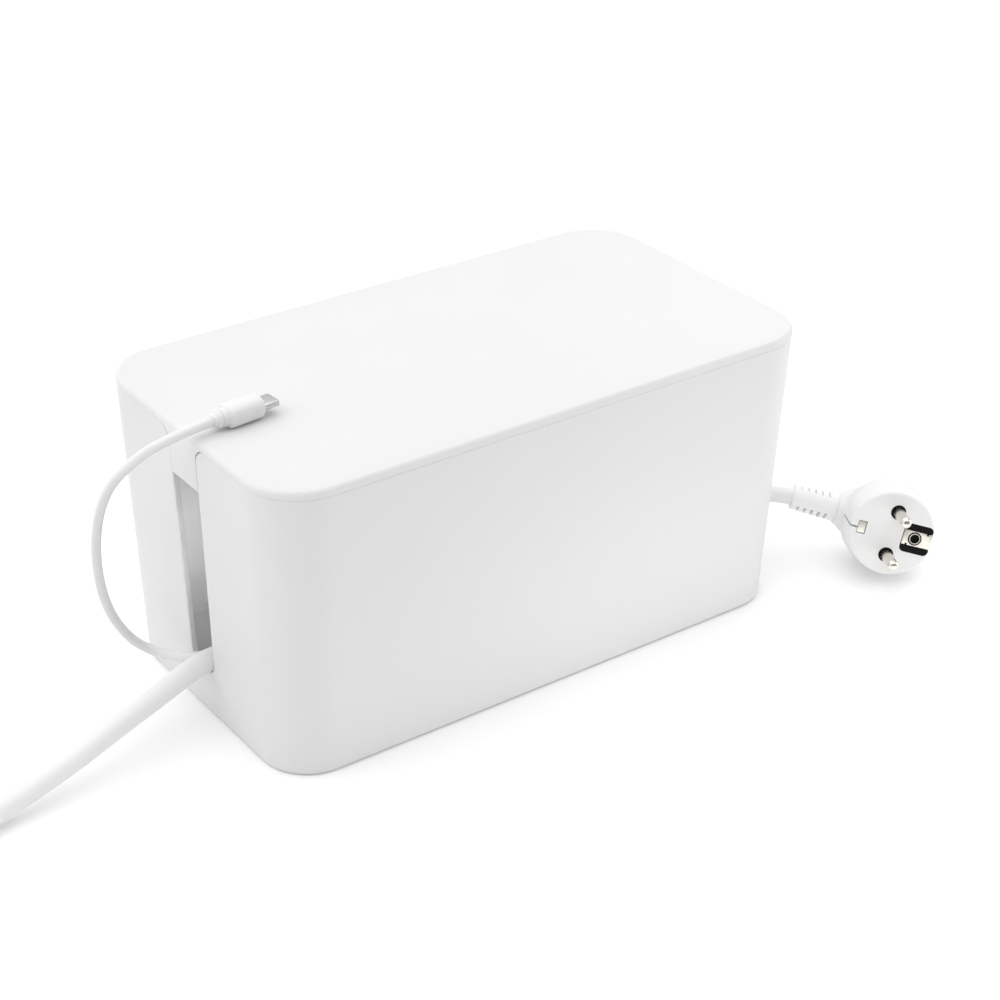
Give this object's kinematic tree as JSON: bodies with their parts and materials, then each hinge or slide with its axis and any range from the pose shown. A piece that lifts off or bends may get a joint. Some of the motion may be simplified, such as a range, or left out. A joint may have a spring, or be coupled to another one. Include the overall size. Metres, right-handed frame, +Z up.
{
  "type": "cable management box",
  "caption": "Drafted tray with a slot in each end and a lift-off lid with tabs, holding a switched socket strip, its angled mains plug and the leads that pass through the slots.",
  "frame": {"origin": "on the ground, under the middle of the box", "axes": "+X along the box's length towards the mains lead's end, +Y towards the back long side, +Z up"},
  "size_m": [0.5335, 0.1714, 0.1337],
  "materials": {
    "shell_white": "fine satin moulding",
    "foot_rubber": "soft, clear-grey",
    "strip_white": "semi-gloss moulding",
    "brass": "stamped",
    "plated_steel": "plated strip",
    "screw_steel": "zinc plated",
    "port_steel": "folded sheet",
    "pin_metal": "nickel plated",
    "black_plastic": "satin",
    "rocker_grey": "semi-gloss",
    "board_green": "solder mask",
    "plug_white": "soft moulded",
    "lead_white": "smooth sheath",
    "appliance_lead_white": "smooth sheath",
    "charging_white": "smooth sheath",
    "tie_black": "hook and loop tape",
    "connector_black": "satin",
    "wire_grey": "core insulation"
  },
  "bodies": {
    "box": {"box_shell": "shell_white", "rubber_feet": "foot_rubber", "strip_base": "strip_white", "strip_cover": "strip_white", "socket_well_left": "strip_white", "socket_well_right": "strip_white", "live_bar": "brass", "neutral_bar": "brass", "earth_bar": "plated_steel", "strip_screws": "screw_steel", "switch_housing": "black_plastic", "switch_terminals": "brass", "usb_board": "board_green", "usb_port_shells": "port_steel", "usb_port_tongues": "black_plastic", "strip_lead_boot": "plug_white", "strip_lead_clamp": "black_plastic", "strip_wires": "wire_grey", "mains_lead_inner": "lead_white", "mains_lead_hank": "lead_white", "hank_tie": "tie_black", "mains_lead_outer": "lead_white", "mains_plug_boot": "plug_white", "mains_plug_body": "plug_white", "mains_plug_insert": "black_plastic", "mains_plug_pins": "pin_metal", "mains_plug_earth": "plated_steel", "appliance_plug_body": "plug_white", "appliance_plug_insert": "black_plastic", "appliance_plug_pins": "pin_metal", "appliance_plug_earth": "plated_steel", "appliance_plug_boot": "plug_white", "appliance_lead": "appliance_lead_white", "appliance_lead_coil": "appliance_lead_white", "appliance_lead_tail": "appliance_lead_white", "coil_tie": "tie_black", "appliance_connector": "connector_black", "connector_contacts": "brass", "usb_plug_shell": "port_steel", "usb_plug_insert": "black_plastic", "usb_plug_grip": "charging_white", "charging_lead_inner": "charging_white", "charging_lead_coil": "charging_white", "charging_tie": "tie_black", "charging_lead_outer": "charging_white"},
    "lid": {"lid": "shell_white", "charging_connector": "charging_white", "charging_tip": "port_steel"},
    "rocker": {"rocker_button": "rocker_grey"}
  },
  "joints": [
    {"name": "lid_lift", "type": "slide", "parent": "box", "child": "lid", "axis": [0, 0, 1], "range_m": [0, 0.04], "deforming": ["charging_lead_outer"]},
    {"name": "rocker_switch", "type": "hinge", "parent": "box", "child": "rocker", "pos_m": [0.0435, 0.032, 0.0423], "axis": [1, 0, 0], "range_deg": [0, 16]}
  ]
}
